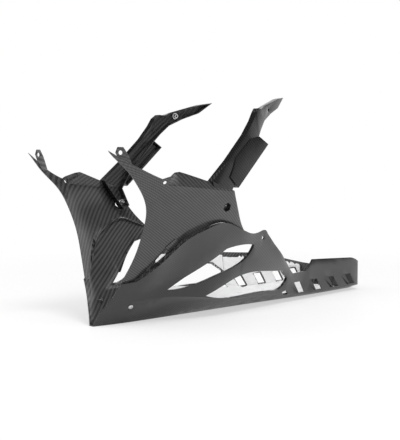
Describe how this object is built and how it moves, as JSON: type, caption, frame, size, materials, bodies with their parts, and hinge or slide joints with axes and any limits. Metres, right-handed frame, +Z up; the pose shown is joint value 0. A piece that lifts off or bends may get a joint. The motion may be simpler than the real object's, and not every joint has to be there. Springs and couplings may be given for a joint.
{
  "type": "motorcycle belly pan",
  "caption": "open-topped V-nosed engine belly pan with flared side panels, rear stay arms, side openings and a louvred tail",
  "frame": {"origin": "centre of the overall box, on the keel flat the pan stands on", "axes": "+X forward to the nose, +Y to the rider's left, +Z up"},
  "size_m": [0.871, 0.34, 0.457],
  "materials": {
    "carbon": "clear-coated twill",
    "foil": "creased bright foil",
    "steel": "zinc plated"
  },
  "bodies": {
    "root": {"lower_pan": "carbon", "side_panel_left": "carbon", "side_panel_right": "carbon", "arm_left": "carbon", "arm_right": "carbon", "arm_cover_left": "carbon", "arm_cover_right": "carbon", "front_tab_left": "carbon", "front_tab_right": "carbon", "gill_tab_left": "carbon", "gill_tab_right": "carbon", "leg_nut_left": "steel", "leg_nut_right": "steel", "arm_nut_left": "steel", "arm_nut_right": "steel", "nose_screws": "steel", "nose_nuts": "steel", "heat_foil_left": "foil", "heat_foil_right": "foil"}
  },
  "joints": []
}
